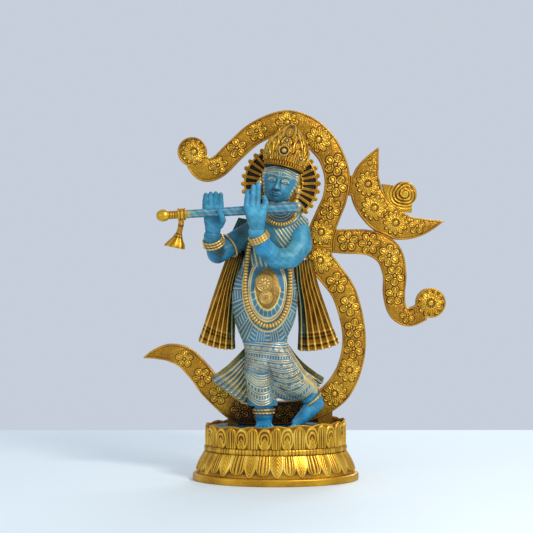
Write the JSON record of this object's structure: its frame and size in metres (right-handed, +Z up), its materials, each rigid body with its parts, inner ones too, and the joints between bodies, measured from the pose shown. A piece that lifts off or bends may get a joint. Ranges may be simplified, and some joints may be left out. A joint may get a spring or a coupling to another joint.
{
  "type": "deity figure in an ornamental frame",
  "caption": "Cast brass flute-playing deity figure with blue patina, standing on a hollow oval lotus pedestal before an Om-shaped openwork frame.",
  "frame": {"origin": "centre of the pedestal foot's underside, on the surface it stands on", "axes": "+Z up, the figure faces -Y, +X to the right of someone looking at its front"},
  "size_m": [0.2311, 0.0852, 0.2801],
  "materials": {
    "antique_brass": "antiqued: dark lacquer left in the hollows, ridges rubbed bright",
    "blue_patina": "satin blue patina paint rubbed back to brass on raised lines",
    "rubbed_brass": "satin, rubbed bright",
    "steel": "zinc plated"
  },
  "bodies": {
    "root": {"foot_rim": "antique_brass", "base_shell": "antique_brass", "lower_petals": "antique_brass", "bead_ring": "antique_brass", "upper_petals": "antique_brass", "deck_plate": "antique_brass", "deck_washers": "steel", "deck_nuts": "steel", "frame_lugs": "antique_brass", "lower_bowl": "antique_brass", "upper_bowl": "antique_brass", "frame_arm": "antique_brass", "crescent": "antique_brass", "rose_bindu": "antique_brass", "hip_wrap": "blue_patina", "standing_leg_wrap": "blue_patina", "crossed_leg_wrap": "blue_patina", "right_skirt_fan": "blue_patina", "left_skirt_fan": "blue_patina", "standing_foot": "blue_patina", "crossed_foot": "blue_patina", "anklets": "rubbed_brass", "torso": "blue_patina", "shawl_back": "blue_patina", "right_sash_tail": "antique_brass", "left_sash_tail": "antique_brass", "right_arm": "blue_patina", "right_hand": "blue_patina", "left_arm": "blue_patina", "left_hand": "blue_patina", "bracelets": "rubbed_brass", "armlets": "rubbed_brass", "head": "blue_patina", "crown": "antique_brass", "crown_jewel": "rubbed_brass", "earrings": "rubbed_brass", "halo_disc": "antique_brass", "halo_screw": "steel", "necklace": "rubbed_brass", "long_garland": "rubbed_brass", "pendants": "rubbed_brass", "flute_tube": "blue_patina", "flute_finial": "antique_brass", "flute_collar": "antique_brass", "flute_tassel": "antique_brass", "back_strap": "antique_brass", "strap_screws": "steel"}
  },
  "joints": []
}
